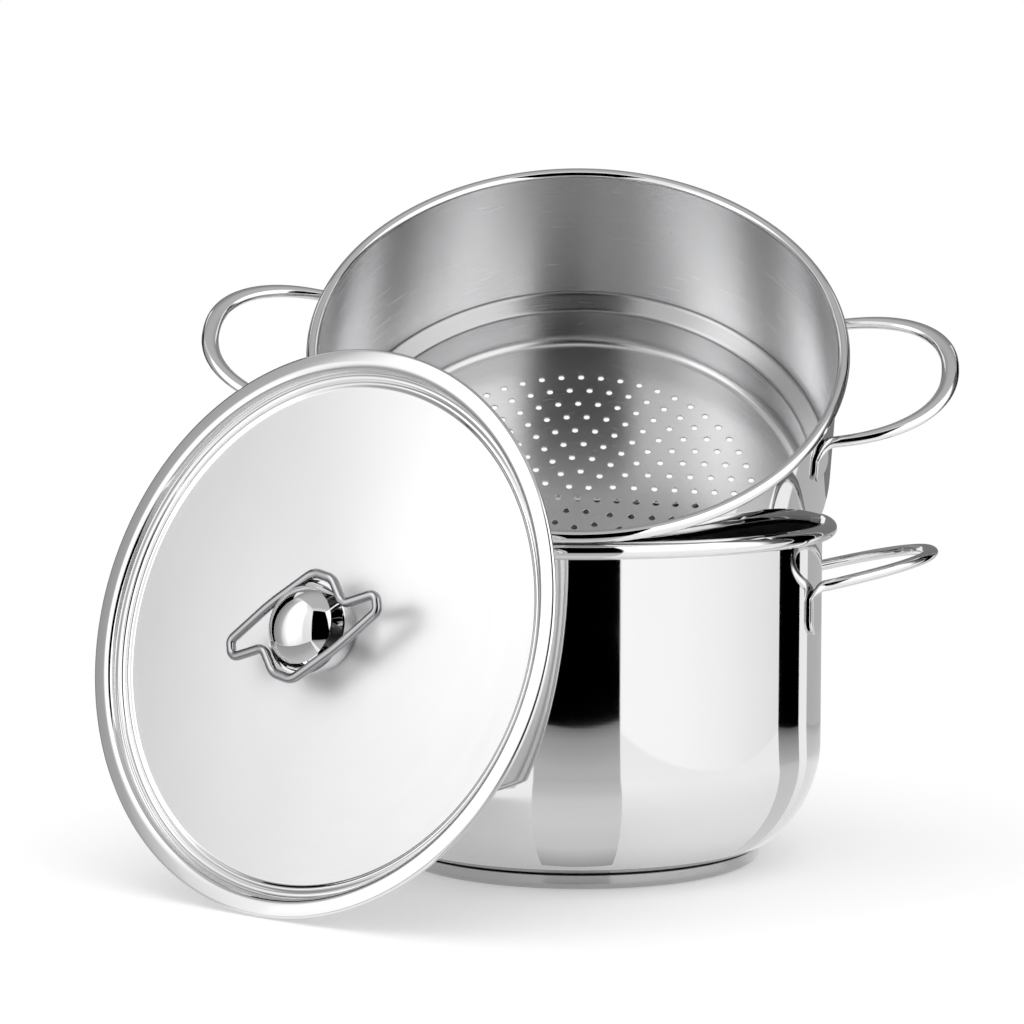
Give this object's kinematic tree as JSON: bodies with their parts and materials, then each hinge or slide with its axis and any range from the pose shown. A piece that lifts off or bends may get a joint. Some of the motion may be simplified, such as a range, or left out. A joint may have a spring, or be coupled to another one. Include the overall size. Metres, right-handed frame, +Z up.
{
  "type": "couscous pot",
  "caption": "Stainless steel couscous pot: a stock pot with loop handles, a perforated steamer leaning in its mouth and a lid with a wire-loop knob leaning on both.",
  "frame": {"origin": "centre of the base's resting face, on the pot's axis", "axes": "+Z up along the pot's axis, -Y towards the side the steamer tips to, +X towards the right-hand pot handle"},
  "size_m": [0.4125, 0.3286, 0.3388],
  "materials": {
    "mirror_steel": "mirror-polished stainless steel",
    "satin_steel": "satin stainless steel, turned",
    "wire_steel": "polished stainless steel wire",
    "lid_steel": "satin stainless steel disc with polished rim",
    "aluminium": "plain rolled"
  },
  "bodies": {
    "pot": {"pot_shell": "mirror_steel", "base_core": "aluminium", "base_cap": "mirror_steel", "pot_handle_left": "wire_steel", "pot_handle_right": "wire_steel"},
    "steamer": {"steamer_shell": "satin_steel", "steamer_handle_left": "wire_steel", "steamer_handle_right": "wire_steel"},
    "lid": {"lid_disc": "lid_steel", "knob_dome": "mirror_steel", "knob_stem": "satin_steel", "knob_cup": "mirror_steel", "knob_loop": "wire_steel", "knob_screw": "wire_steel", "knob_washer": "wire_steel"}
  },
  "joints": [
    {"name": "steamer_lift", "type": "slide", "parent": "pot", "child": "steamer", "axis": [0, 0.4695, 0.8829], "range_m": [0, 0.16]},
    {"name": "lid_lift", "type": "slide", "parent": "pot", "child": "lid", "axis": [-0.2193, -0.2691, 0.9378], "range_m": [0, 0.36]}
  ]
}
